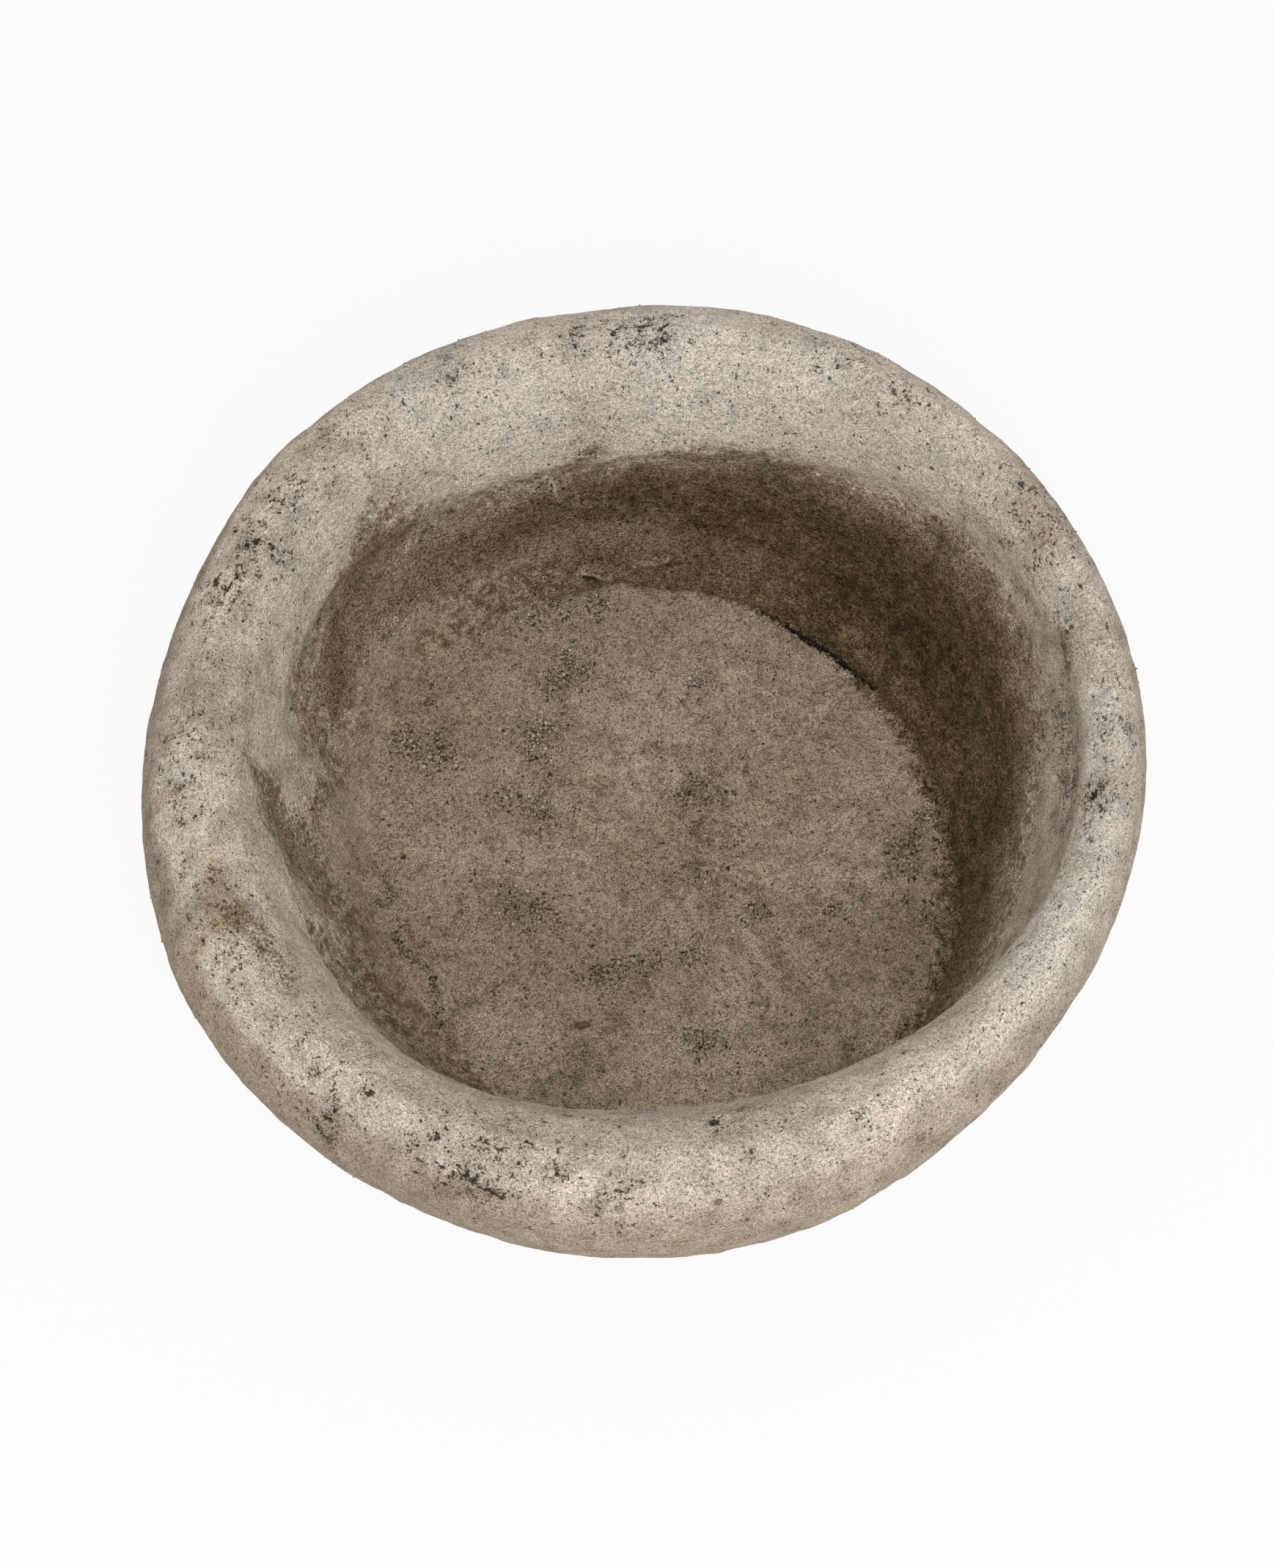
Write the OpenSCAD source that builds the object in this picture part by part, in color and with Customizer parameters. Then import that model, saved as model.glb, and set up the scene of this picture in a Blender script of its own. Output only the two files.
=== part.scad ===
// Low round planter of cast and hand-worked stone: a heavy one-piece bowl with a
// broad rolled rim, and a bed of mortar trowelled over the bottom of its hollow.
// Both pieces share one set of outlines, so the bed's edge meets the bowl face to face.

/* [Bowl] */
// Mean width of the bowl across its shoulder
bowl_w = 609; // [520:1:700]
// Height from the ground to the crest of the rim
bowl_h = 235; // [200:1:300]
// How far below the crest the shoulder, the widest line, lies
shoulder_drop = 57; // [45:1:70]
// How far the foot is drawn in from the shoulder
foot_inset = 92; // [60:1:110]

/* [Hollow] */
// Mean width of the mouth, where the rim turns down into the wall
mouth_w = 465; // [420:1:480]
// How far below the crest the mouth lies, but for the right
mouth_drop = 65; // [50:1:75]
// How much higher the mouth lies at the right, where the rim is broad and nearly flat on top
mouth_rise = 44; // [0:1:46]
// Mean width of the floor, inside the wall's foot
floor_w = 378; // [320:1:390]
// How far the mouth is off the middle, to the right
mouth_right = 16; // [0:1:25]
// How far the mouth is off the middle, to the front
mouth_front = 4; // [0:1:10]
// How far the floor is off the middle, to the right
floor_right = 14; // [0:1:25]
// How far the floor is off the middle, to the front
floor_front = 15; // [0:1:20]

/* [Base and mortar bed] */
// Thickness of the stone under the mortar bed
base_t = 42; // [35:1:60]
// Thickness of the mortar bed at its edge
bed_t = 15; // [10:1:20]
// How much the trowel left the bed lower in the middle than at its edge
bed_dish = 3; // [0:0.5:5]

/* [Hand-made shape] */
// How far the shoulder's outline is out of round, as an oval
shoulder_oval = 7; // [0:0.5:12]
// How far the mouth's outline is out of round, as an oval
mouth_oval = 10; // [0:0.5:14]
// How far the floor's outline is out of round, as an oval
floor_oval = 9; // [0:0.5:12]
// How far the back right of the bowl is flattened
back_flat = 5; // [0:0.5:8]
// Depth of the two saddles worn across the left of the rim
saddle_depth = 7; // [0:0.5:12]
// How far the two soft ribs stand in from the left wall
rib_depth = 10; // [0:0.5:14]

/* [Hidden] */

stone_colour = [0.68, 0.64, 0.58];
mortar_colour = [0.52, 0.47, 0.41];

// Steps round the bowl, and steps between two neighbouring points of the profile
turn_steps = 60;
curve_steps = 4;

floor_z = base_t + bed_t;
shoulder_z = bowl_h - shoulder_drop;

// Directions are degrees round the bowl, anticlockwise from its right-hand side
shoulder_oval_angle = 67;
mouth_oval_angle = 9;
floor_oval_angle = -61;
shoulder_lobes = [[1.9, 5, -7]]; // height, count and angle of each set of flat lobes
mouth_lobes = [[3.4, 3, 10], [4, 4, -37]];
high_mouth = [[-5, 55]];          // angle and half width of the stretch where the mouth is high
flats = [[45, 26]];              // angle and half width of each flattened place
saddles = [[167, 7], [193, 9]];  // angle and half width of each saddle in the rim
ribs = [[178, 7], [204, 6]];     // angle and half width of each rib on the wall

// Angle from direction b to direction a, between -180 and 180
function turn(a, b) = (a - b + 540) % 360 - 180;
// A smooth swelling of height 1 at direction c, with half width w
function swell(a, c, w) = exp(-pow(turn(a, c) / w, 2));
function swells(a, list) = [for (s = list) swell(a, s[0], s[1])] * [for (s = list) 1];
// Regular waves round an outline, from a list of [height, count, angle]
function lobes(a, list) = [for (w = list) w[0] * cos(w[1] * (a - w[2]))] * [for (w = list) 1];
function oval(a, height, angle) = height * cos(2 * (a - angle));

// Outline radii in direction a
function shoulder_r(a) = bowl_w / 2 + oval(a, shoulder_oval, shoulder_oval_angle)
    + lobes(a, shoulder_lobes) - back_flat * swells(a, flats);
function mouth_r(a) = mouth_w / 2 + mouth_right * cos(a) - mouth_front * sin(a)
    + oval(a, mouth_oval, mouth_oval_angle) + lobes(a, mouth_lobes);
function floor_r(a) = floor_w / 2 + floor_right * cos(a) - floor_front * sin(a)
    + oval(a, floor_oval, floor_oval_angle);
function crest_r(a) = 0.48 * mouth_r(a) + 0.52 * shoulder_r(a);
function crest_z(a) = bowl_h - saddle_depth * swells(a, saddles);
function mouth_z(a) = bowl_h - mouth_drop + mouth_rise * swells(a, high_mouth);
function rib_in(a) = rib_depth * swells(a, ribs);

// The bowl's profile in direction a, as [radius, height], up the outside to the crest
function outside(a) = let (r = shoulder_r(a), c = crest_r(a), top = crest_z(a)) [
    [r - foot_inset, 0],
    [r - 0.8 * foot_inset, 0.06 * bowl_h],
    [r - 0.5 * foot_inset, 0.26 * bowl_h],
    [r - 0.17 * foot_inset, 0.49 * bowl_h],
    [r, shoulder_z],
    [r - 0.35 * (r - c), top - 0.32 * shoulder_drop],
    [c, top],
];
// ... and down the inside from the crest to the floor
function inside(a) = let (
    c = crest_r(a), m = mouth_r(a), f = floor_r(a),
    top = crest_z(a), lip = mouth_z(a), wall = lip - floor_z
) [
    [c, top],
    [m + 0.42 * (c - m), top - 0.32 * (top - lip)],
    [m, lip],
    [m + 1 - 0.8 * rib_in(a), lip - 0.22 * wall],
    [m - 0.18 * (m - f) - rib_in(a), lip - 0.5 * wall],
    [f + 0.45 * (m - f) - 0.6 * rib_in(a), lip - 0.8 * wall],
    [f, floor_z],
];

// Catmull-Rom curve through the points p, with its first point left out
function padded_ends(p) = let (n = len(p) - 1)
    concat([2 * p[0] - p[1]], p, [2 * p[n] - p[n - 1]]);
function between(a, b, c, d, t) = 0.5 * (2 * b + (c - a) * t
    + (2 * a - 5 * b + 4 * c - d) * t * t + (3 * b - a - 3 * c + d) * t * t * t);
function smooth(p) = let (q = padded_ends(p)) [
    for (i = [1 : len(p) - 1], s = [1 : curve_steps])
        between(q[i - 1], q[i], q[i + 1], q[i + 2], s / curve_steps)
];

function bowl_profile(a) = concat(
    [outside(a)[0]], smooth(outside(a)), smooth(inside(a)), [[floor_r(a) - 3, base_t]]);
function bed_profile(a) = let (f = floor_r(a)) [
    [f - 3, base_t],
    [f, floor_z],
    [0.8 * f, floor_z - 0.4 * bed_dish],
    [0.4 * f, floor_z - 0.9 * bed_dish],
];

// The footprint's middle, so that the origin can sit under it
directions = [for (i = [0 : turn_steps - 1]) i * 360 / turn_steps];
widest_x = [for (a = directions) shoulder_r(a) * cos(a)];
widest_y = [for (a = directions) shoulder_r(a) * sin(a)];
middle = [(max(widest_x) + min(widest_x)) / 2, (max(widest_y) + min(widest_y)) / 2];

function placed(p, a) = [p[0] * cos(a) - middle[0], p[0] * sin(a) - middle[1], p[1]];

// A closed solid from one open profile per direction, capped flat at both of its ends
module turned_solid(profiles) {
    rows = len(profiles[0]);
    points = [for (k = [0 : rows - 1], i = [0 : turn_steps - 1]) placed(profiles[i][k], directions[i])];
    skin = [
        for (k = [0 : rows - 2], i = [0 : turn_steps - 1])
            let (j = (i + 1) % turn_steps, low = k * turn_steps, high = low + turn_steps)
                each [[low + i, high + i, high + j], [low + i, high + j, low + j]]
    ];
    first_cap = [[for (i = [0 : turn_steps - 1]) i]];
    last_cap = [[for (i = [turn_steps - 1 : -1 : 0]) (rows - 1) * turn_steps + i]];
    polyhedron(points, concat(skin, first_cap, last_cap), convexity = 6);
}

module stone_bowl() {
    color(stone_colour) turned_solid([for (a = directions) bowl_profile(a)]);
}

module mortar_bed() {
    color(mortar_colour) turned_solid([for (a = directions) bed_profile(a)]);
}

stone_bowl();
mortar_bed();
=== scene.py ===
# %% [markdown]
# A stone trough planter, dressed for its portrait.
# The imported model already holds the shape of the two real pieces: a bowl of cast and
# hand-worked stone, and a bed of mortar trowelled over the bottom of its hollow. This lesson
# keeps their shape and gives them what years outdoors gave the real ones: worn lumps, pits,
# brush strokes, cracks and stains. Blender counts in metres, and mm turns millimetres into them.

# %% Load the model
from itertools import product
from math import cos, pi, radians, sin

import bmesh
import bpy
import numpy as np
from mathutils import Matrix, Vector, kdtree
from mathutils.bvhtree import BVHTree


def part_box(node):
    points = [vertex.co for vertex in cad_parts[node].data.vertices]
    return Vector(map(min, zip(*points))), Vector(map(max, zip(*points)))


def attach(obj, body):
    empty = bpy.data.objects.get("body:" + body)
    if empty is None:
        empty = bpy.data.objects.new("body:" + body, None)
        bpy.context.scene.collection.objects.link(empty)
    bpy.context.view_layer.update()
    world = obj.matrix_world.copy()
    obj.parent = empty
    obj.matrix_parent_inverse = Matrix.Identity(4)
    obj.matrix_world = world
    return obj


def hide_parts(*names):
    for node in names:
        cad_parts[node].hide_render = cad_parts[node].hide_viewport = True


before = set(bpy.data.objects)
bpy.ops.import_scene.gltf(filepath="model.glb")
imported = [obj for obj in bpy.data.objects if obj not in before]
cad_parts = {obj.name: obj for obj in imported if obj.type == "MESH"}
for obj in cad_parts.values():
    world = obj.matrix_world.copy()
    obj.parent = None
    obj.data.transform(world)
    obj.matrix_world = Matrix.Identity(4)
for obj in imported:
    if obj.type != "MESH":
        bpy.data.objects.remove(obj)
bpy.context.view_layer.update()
scene = bpy.context.scene
scene.view_settings.view_transform = "Standard"
mm = 0.001

# %% [markdown]
# The photograph looks down into the bowl from about 65 degrees above the ground. A camera is
# easiest to set from what it sees: the point in the middle of the picture, the distance to it,
# and how many millimetres one pixel covers there. The lens follows from those.

# %% Camera
photo_width, photo_height = 1736, 2138
camera_rise = radians(65)
camera_distance = 1.7
pixel_size = 0.45 * mm
sensor = 36
look_at = Vector((-4.8, 0, 130)) * mm

camera_back = Vector((0, -cos(camera_rise), sin(camera_rise)))
camera_up = Vector((0, sin(camera_rise), cos(camera_rise)))
lens_pixels = camera_distance / pixel_size
camera_data = bpy.data.cameras.new("portrait_camera")
camera_data.sensor_width = sensor
camera_data.lens = sensor * lens_pixels / photo_height
camera = bpy.data.objects.new("portrait_camera", camera_data)
camera.location = look_at + camera_back * camera_distance
camera.rotation_euler = (pi / 2 - camera_rise, 0, 0)
scene.collection.objects.link(camera)
scene.camera = camera
print("lens in mm:", round(camera_data.lens, 1))

# %% [markdown]
# The studio is plain: a large soft lamp in front, above and a little to the right, and an even
# sky. Together they light a level surface so that its colour renders about as it is written.
# The ground is white where the camera sees it, through Light Path, and keeps a faint shadow.

# %% Lamp and sky
key_from = Vector((0.10, -0.72, 0.70)).normalized()
key_distance, key_width, key_power = 1.8, 1.0, 13
bpy.ops.object.light_add(type="AREA", location=look_at + key_from * key_distance)
key = bpy.context.object
key.name = "soft_key"
key.rotation_euler = key_from.to_track_quat("Z", "Y").to_euler()
key.data.size = key_width
key.data.energy = key_power

sky = bpy.data.worlds.new("even_sky")
scene.world = sky
sky.use_nodes = True
sky_light = sky.node_tree.nodes["Background"]
sky_light.inputs["Color"].default_value = (1, 1, 1, 1)
sky_strength = 0.74
sky_light.inputs["Strength"].default_value = sky_strength
print("key lamp at", [round(v, 2) for v in key.location])

# %% Ground
ground_colour = (0.80, 0.79, 0.78, 1)
ground_size = 6
bpy.ops.mesh.primitive_plane_add(size=ground_size)
ground = bpy.context.object
ground.name = "ground"
print("ground spans", ground_size, "m")

# %% [markdown]
# Shader maths reads best as sums. This small class wraps one output of a node tree: adding or
# multiplying two of them makes the Math nodes. Every other kind of node comes from its one
# method, node, which takes the node's type, its settings, and what goes into its sockets.


# %% Shader maths
class Wire:
    """One output in a node tree, which can be reckoned with like a number."""

    def __init__(self, tree, socket):
        self.tree = tree
        self.socket = socket

    def node(self, kind, settings=None, inputs=None, output=0):
        made = self.tree.nodes.new(kind)
        for name, value in (settings or {}).items():
            setattr(made, name, value)
        for name, value in (inputs or {}).items():
            if isinstance(value, Wire):
                self.tree.links.new(value.socket, made.inputs[name])
            else:
                made.inputs[name].default_value = value
        return Wire(self.tree, made.outputs[output])

    def other(self, output):
        """Another output of the node that this one comes from."""
        return Wire(self.tree, self.socket.node.outputs[output])

    def math(self, operation, first, second=0.0):
        return self.node("ShaderNodeMath", {"operation": operation}, {0: first, 1: second})

    def vector(self, operation, first, second=(0, 0, 0)):
        return self.node("ShaderNodeVectorMath", {"operation": operation}, {0: first, 1: second})

    def __add__(self, other):
        return self.math("ADD", self, other)

    def __radd__(self, other):
        return self.math("ADD", other, self)

    def __sub__(self, other):
        return self.math("SUBTRACT", self, other)

    def __rsub__(self, other):
        return self.math("SUBTRACT", other, self)

    def __mul__(self, other):
        return self.math("MULTIPLY", self, other)

    def __rmul__(self, other):
        return self.math("MULTIPLY", other, self)

    def fade(self, low, high):
        """0 where this is at low or beyond, 1 at high or beyond, and smooth between them."""
        settings = {"interpolation_type": "SMOOTHSTEP"}
        ends = {"Value": self, "From Min": low, "From Max": high}
        if low > high:
            ends = {"Value": self, "From Min": high, "From Max": low, "To Min": 1.0, "To Max": 0.0}
        return self.node("ShaderNodeMapRange", settings, ends)

    def tint(self, colour, share):
        """This colour, with a share of another colour laid over it."""
        return blend(self, colour, share)

    def shade(self, strength):
        """This colour made darker or lighter all over by a number that varies."""
        return self.node("ShaderNodeVectorMath", {"operation": "SCALE"}, {0: self, "Scale": strength})

    def under(self, film, thickness):
        """This colour under a dark film, which also paints shade, given as the colour that one thickness of
        it lets through.
        """
        return self.vector("MULTIPLY", self, self.vector("POWER", film[:3], thickness))


def blend(first, second, share):
    """Two colours mixed: the first where the share is 0, the second where it is 1."""
    return share.node("ShaderNodeMix", {"data_type": "RGBA"}, {0: share, 6: first, 7: second}, output=2)


print("shader maths is ready")


# %% Ground material
def new_material(name):
    """An empty material, its output node, and a wire to start its maths from."""
    material = bpy.data.materials.new(name)
    material.use_nodes = True
    material.node_tree.nodes.clear()
    output = material.node_tree.nodes.new("ShaderNodeOutputMaterial")
    return material, output, Wire(material.node_tree, None)


def seen_directly(start):
    """1 for what the camera sees, also in a mirror or through glass, and 0 for light that falls."""
    rays = [start.node("ShaderNodeLightPath", output=name)
            for name in ("Is Camera Ray", "Is Glossy Ray", "Is Transmission Ray")]
    return start.math("MINIMUM", rays[0] + rays[1] + rays[2], 1.0)


ground_glow = 0.9
white_ground, ground_output, start = new_material("white_ground")
shadowed = start.node("ShaderNodeBsdfDiffuse", inputs={"Color": ground_colour})
glowing = start.node("ShaderNodeEmission", inputs={"Color": (1, 1, 1, 1), "Strength": 1.0})
glow_share = seen_directly(start) * ground_glow
lit_ground = start.node("ShaderNodeMixShader", inputs={0: glow_share, 1: shadowed, 2: glowing})
white_ground.node_tree.links.new(lit_ground.socket, ground_output.inputs["Surface"])
ground.data.materials.append(white_ground)
sky_start = Wire(sky.node_tree, None)
sky_seen = seen_directly(sky_start) * (1 - sky_strength) + sky_strength
sky.node_tree.links.new(sky_seen.socket, sky_light.inputs["Strength"])
print("ground glows for the camera alone, by", ground_glow)

# %% [markdown]
# A sculptor's tools for meshes of half a million points. A loop over the points would take
# minutes, so these work on all of them at once, as rows of an array. The noise is the classic
# kind: a fixed random number at every whole-number place, blended smoothly in between.


# %% Noise
axis_primes, seed_prime, stirring = (73856093, 19349663, 83492791), 961748941, 2246822519
low_bits = 0xFFFFFFFF


def lattice(cells, seed):
    """A fixed random number from 0 to 1 for every whole-number place."""
    x, y, z = (cells * axis_primes).T
    mixed = (x ^ y ^ z ^ seed * seed_prime) & low_bits
    for _ in range(2):
        mixed = ((mixed ^ mixed >> 15) * stirring) & low_bits
    return (mixed ^ mixed >> 13) / low_bits


def ripple(points, size, seed):
    """Smooth noise from -1 to 1, in blobs about size across."""
    places = points / size
    low = np.floor(places).astype(np.int64)
    part = places - low
    ease = part**3 * (part * (part * 6 - 15) + 10)
    total = 0
    for corner in product((0, 1), repeat=3):
        weight = np.prod(np.where(corner, ease, 1 - ease), axis=1)
        total = total + weight * lattice(low + corner, seed)
    return 2 * total - 1


def cloud(points, size, octaves=3, seed=0):
    """Noise from about -1 to 1, in blobs about size across that have smaller ones on them."""
    total, height = 0, 1
    for octave in range(octaves):
        total = total + height * ripple(points, size, seed * 31 + octave)
        size, height = size / 2, height / 2
    return total / 1.3


def smooth_step(values, low, high):
    part = np.clip((values - low) / (high - low), 0, 1)
    return part * part * (3 - 2 * part)


print("noise of one point:", cloud(np.zeros((1, 3)), 1.0))


# %% Points of a mesh
def numbers_from(rows, what, width=3):
    """What some rows of a mesh hold, read all at once: width numbers for each row."""
    flat = np.empty(len(rows) * width, np.float32)
    rows.foreach_get(what, flat)
    return flat.reshape(-1, width).astype(float)


def points_of(piece):
    return numbers_from(piece.data.vertices, "co")


def normals_of(piece):
    return numbers_from(piece.data.vertex_normals, "vector")


def move_points(piece, points):
    piece.data.vertices.foreach_set("co", points.ravel())
    piece.data.update()


def remember(piece, **named_numbers):
    """Stores a number for every point, which the materials read by its name."""
    for name, numbers in named_numbers.items():
        attribute = piece.data.attributes.new(name, "FLOAT", "POINT")
        attribute.data.foreach_set("value", np.array(numbers, np.float32))


def remembered(piece, name):
    return numbers_from(piece.data.attributes[name].data, "value", 1)[:, 0]


print("a point of the packed bowl in mm:", points_of(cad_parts["stone_bowl"])[0] / mm)

# %% [markdown]
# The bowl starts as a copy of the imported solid. That mesh is made of loose triangles, so its
# doubles are merged and pairs of triangles become four-sided faces again. It has far fewer
# faces round the bowl than up its side, so the long edges are cut first, and a Subdivision
# Surface then rounds it all evenly.


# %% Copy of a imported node
def deselect_all():
    bpy.ops.object.select_all(action="DESELECT")


def make_active(piece):
    deselect_all()
    piece.select_set(True)
    bpy.context.view_layer.objects.active = piece


same_point, most_bend = 0.01 * mm, radians(60)


def quad_copy(node, name):
    """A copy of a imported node, merged and in four-sided faces where it can be."""
    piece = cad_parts[node].copy()
    piece.data = piece.data.copy()
    for key_name in list(piece.keys()):
        del piece[key_name]
    piece.name = piece.data.name = name
    piece.parent = None
    scene.collection.objects.link(piece)
    piece.data.materials.clear()
    make_active(piece)
    bpy.ops.object.mode_set(mode="EDIT")
    bpy.ops.mesh.select_all(action="SELECT")
    bpy.ops.mesh.remove_doubles(threshold=same_point)
    bpy.ops.mesh.tris_convert_to_quads(face_threshold=most_bend, shape_threshold=most_bend)
    bpy.ops.object.mode_set(mode="OBJECT")
    return piece


def cut_long_edges(piece, longest, cuts):
    """Cuts every edge that is longer than longest, apart from those of the flat end caps."""
    bpy.context.tool_settings.mesh_select_mode = (False, True, False)
    bpy.ops.object.mode_set(mode="EDIT")
    mesh = bmesh.from_edit_mesh(piece.data)
    for edge in mesh.edges:
        edge.select_set(False)
    for edge in mesh.edges:
        flat = all(abs(face.normal.z) > 0.999 for face in edge.link_faces)
        edge.select_set(edge.calc_length() > longest and not flat)
    bmesh.update_edit_mesh(piece.data)
    bpy.ops.mesh.subdivide(number_cuts=cuts, smoothness=0)
    bpy.ops.object.mode_set(mode="OBJECT")


def refine_near(piece, places, reach):
    """Cuts the faces that lie near some places into nine, for thin folds and sharp chips."""
    make_active(piece)
    bpy.context.tool_settings.mesh_select_mode = (False, False, True)
    bpy.ops.object.mode_set(mode="EDIT")
    mesh = bmesh.from_edit_mesh(piece.data)
    centres = np.array([face.calc_center_median() for face in mesh.faces])
    nearest = np.min([np.linalg.norm(centres - place, axis=1) for place in places], axis=0)
    for face, distance in zip(mesh.faces, nearest):
        face.select_set(bool(distance < reach))
    bmesh.update_edit_mesh(piece.data)
    bpy.ops.mesh.subdivide(number_cuts=2, smoothness=0)
    bpy.ops.object.mode_set(mode="OBJECT")


def apply_modifier(piece, kind, **settings):
    make_active(piece)
    modifier = piece.modifiers.new(kind.lower(), kind)
    for name, value in settings.items():
        setattr(modifier, name, value)
    bpy.ops.object.modifier_apply(modifier=modifier.name)


# %% Bowl's smooth shape
fineness = 3
bowl = quad_copy("stone_bowl", "bowl")
apply_modifier(bowl, "SUBSURF", levels=1, render_levels=1)
cut_long_edges(bowl, longest=9 * mm, cuts=1)
apply_modifier(bowl, "SUBSURF", levels=fineness - 1, render_levels=fineness - 1)
print("bowl has", len(bowl.data.polygons), "faces before it is sculpted")

# %% [markdown]
# The mortar bed needs points as fine as its sand, evenly spread. A grid has them, so it is cut
# out of a fine grid. Its edge is left a little too wide: that part lies hidden in the stone, and
# what shows of the joint is where the two surfaces meet, as crooked as the real one.

# %% Bed's outline
def angle_of(points):
    return np.arctan2(points[:, 1], points[:, 0])


def reach_of(points):
    return np.hypot(points[:, 0], points[:, 1])


touch = 0.1 * mm
bed_low, bed_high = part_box("mortar_bed")
bed_rim = points_of(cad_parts["mortar_bed"])
bed_rim = bed_rim[bed_rim[:, 2] > bed_high.z - touch]
bed_rim = bed_rim[np.argsort(angle_of(bed_rim))]


def inside_edge(points):
    """How far each point is inside the bed's edge, towards its middle."""
    reach = np.interp(angle_of(points), angle_of(bed_rim), reach_of(bed_rim), period=2 * pi)
    return reach - reach_of(points)


print("bed is", round((bed_high.x - bed_low.x) / mm), "mm wide")

# %% Bed's smooth shape
grid_step = 1.25 * mm
hidden_edge = 14 * mm
dish = 3 * mm
bed_middle = (bed_low + bed_high) / 2
grid_size = max(bed_high - bed_low) + 2 * hidden_edge + 2 * grid_step
grid_cuts = round(grid_size / grid_step)
deselect_all()
bpy.ops.mesh.primitive_grid_add(x_subdivisions=grid_cuts, y_subdivisions=grid_cuts, size=grid_size,
                                location=(bed_middle.x, bed_middle.y, bed_high.z))
bed = bpy.context.object
bed.name = bed.data.name = "bed"
bpy.ops.object.transform_apply()
bpy.context.tool_settings.mesh_select_mode = (True, False, False)
bpy.ops.object.mode_set(mode="EDIT")
mesh = bmesh.from_edit_mesh(bed.data)
spare = inside_edge(np.array([vertex.co for vertex in mesh.verts])) < -hidden_edge
for vertex, outside in zip(mesh.verts, spare):
    vertex.select_set(bool(outside))
mesh.select_flush_mode()
bmesh.update_edit_mesh(bed.data)
bpy.ops.mesh.delete(type="VERT")
bpy.ops.mesh.select_all(action="SELECT")
bpy.ops.mesh.region_to_loop()
bpy.ops.mesh.extrude_edges_move(TRANSFORM_OT_translate={"value": (0, 0, bed_low.z - bed_high.z)})
bpy.ops.mesh.edge_face_add()
bpy.ops.object.mode_set(mode="OBJECT")


def bed_height(points):
    """The bed's smooth height: a shallow dish."""
    inside = inside_edge(points)
    from_middle = np.hypot(points[:, 0] - bed_middle.x, points[:, 1] - bed_middle.y)
    sink = dish * (1 - np.clip(from_middle / (from_middle + np.maximum(inside, 0)), 0, 1) ** 2)
    return bed_high.z - sink


bed_points = points_of(bed)
on_top = bed_points[:, 2] > bed_high.z - touch
bed_points[on_top, 2] = bed_height(bed_points)[on_top]
move_points(bed, bed_points)
print("bed has", len(bed.data.polygons), "faces")

# %% [markdown]
# Every worn place on the real bowl has its spot in the photograph. A ray from the camera through
# a pixel finds the point of the smooth shape that shows there, so a place can be named by its
# pixel and still sits on the stone, seen from any side.

# %% Places seen in the photograph
camera_right = Vector((1, 0, 0))


def bell(distance, width):
    """1 where the distance is 0, and falling softly to almost nothing at twice the width."""
    return np.exp(-(distance / width) ** 2)


def surface_tree(*pieces):
    """A search tree over the faces of some pieces, for rays to hit."""
    points, faces = [], []
    for piece in pieces:
        first = len(points)
        points += [vertex.co for vertex in piece.data.vertices]
        faces += [[first + i for i in face.vertices] for face in piece.data.polygons]
    return BVHTree.FromPolygons(points, faces)


smooth_shape = surface_tree(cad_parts["stone_bowl"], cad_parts["mortar_bed"])


def seen(x, y):
    """The point of the object that shows at one pixel of the photograph."""
    ray = (camera_right * (x - photo_width / 2) + camera_up * (photo_height / 2 - y)
           - camera_back * lens_pixels)
    return smooth_shape.ray_cast(camera.location, ray.normalized())[0]


def spots(points, places):
    """A soft spot at each place, given as a pixel, a radius in mm and a strength. 0 elsewhere."""
    total = np.zeros(len(points))
    for x, y, radius, strength in places:
        away = np.linalg.norm(points - np.array(seen(x, y)), axis=1)
        total = np.maximum(total, strength * bell(away, radius * mm))
    return total


def distance_to_trail(points, pixels):
    """How far each point is from a line through some pixels, in mm."""
    trail = [np.array(seen(x, y)) for x, y in pixels]
    nearest = np.full(len(points), np.inf)
    for start, end in zip(trail, trail[1:]):
        step = end - start
        part = np.clip((points - start) @ step / (step @ step), 0, 1)
        away = np.linalg.norm(points - start - part[:, None] * step, axis=1)
        nearest = np.minimum(nearest, away)
    return nearest / mm


swirl = np.array(seen(955, 1177))
print("the trowel's swirl is at", [round(v / mm) for v in swirl], "mm")


# %% Finer faces for thin folds
def ragged(points, reach, size, seed):
    """The points, each pushed aside at random, so that what is drawn with them has a torn edge."""
    pushes = [cloud(points, size, 3, seed + axis) for axis in range(3)]
    return points + reach * np.stack(pushes, axis=1)


lip_edge = [(1440, 850), (1447, 890), (1452, 930), (1455, 970), (1458, 1010), (1460, 1050), (1458, 1090)]
wall_folds = [[(798, 783), (827, 785), (857, 775), (893, 770), (913, 765)],
              [(750, 655), (758, 676), (763, 684)], [(786, 691), (826, 696), (852, 698)]]
fine_places = [np.array(seen(x, y)) for line in wall_folds + [lip_edge] for x, y in line]
refine_near(bowl, fine_places, reach=14 * mm)
print("bowl has", len(points_of(bowl)), "points")

# %% [markdown]
# Sculpting means one number for every point: how far, in mm, it is raised or sunk. Broad soft
# noise makes the hand-formed unevenness. Strokes of the mason's wet brush run round the bowl, so
# their noise is looked up by the angle round it, slowly, and by height, quickly.


# %% Bowl's unevenness
stroke_pull = 125 * mm


def stroke_places(points):
    """Where to look up noise drawn out round the bowl: every point, pulled in towards the axis."""
    return points - points * (1, 1, 0) / reach_of(points)[:, None] * stroke_pull


def add_noise(relief, points, *layers):
    """Adds layers of noise, each given as its height and size in mm, its octaves and its seed."""
    for height, size, octaves, seed in layers:
        relief += height * cloud(points, size * mm, octaves, seed)


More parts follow.
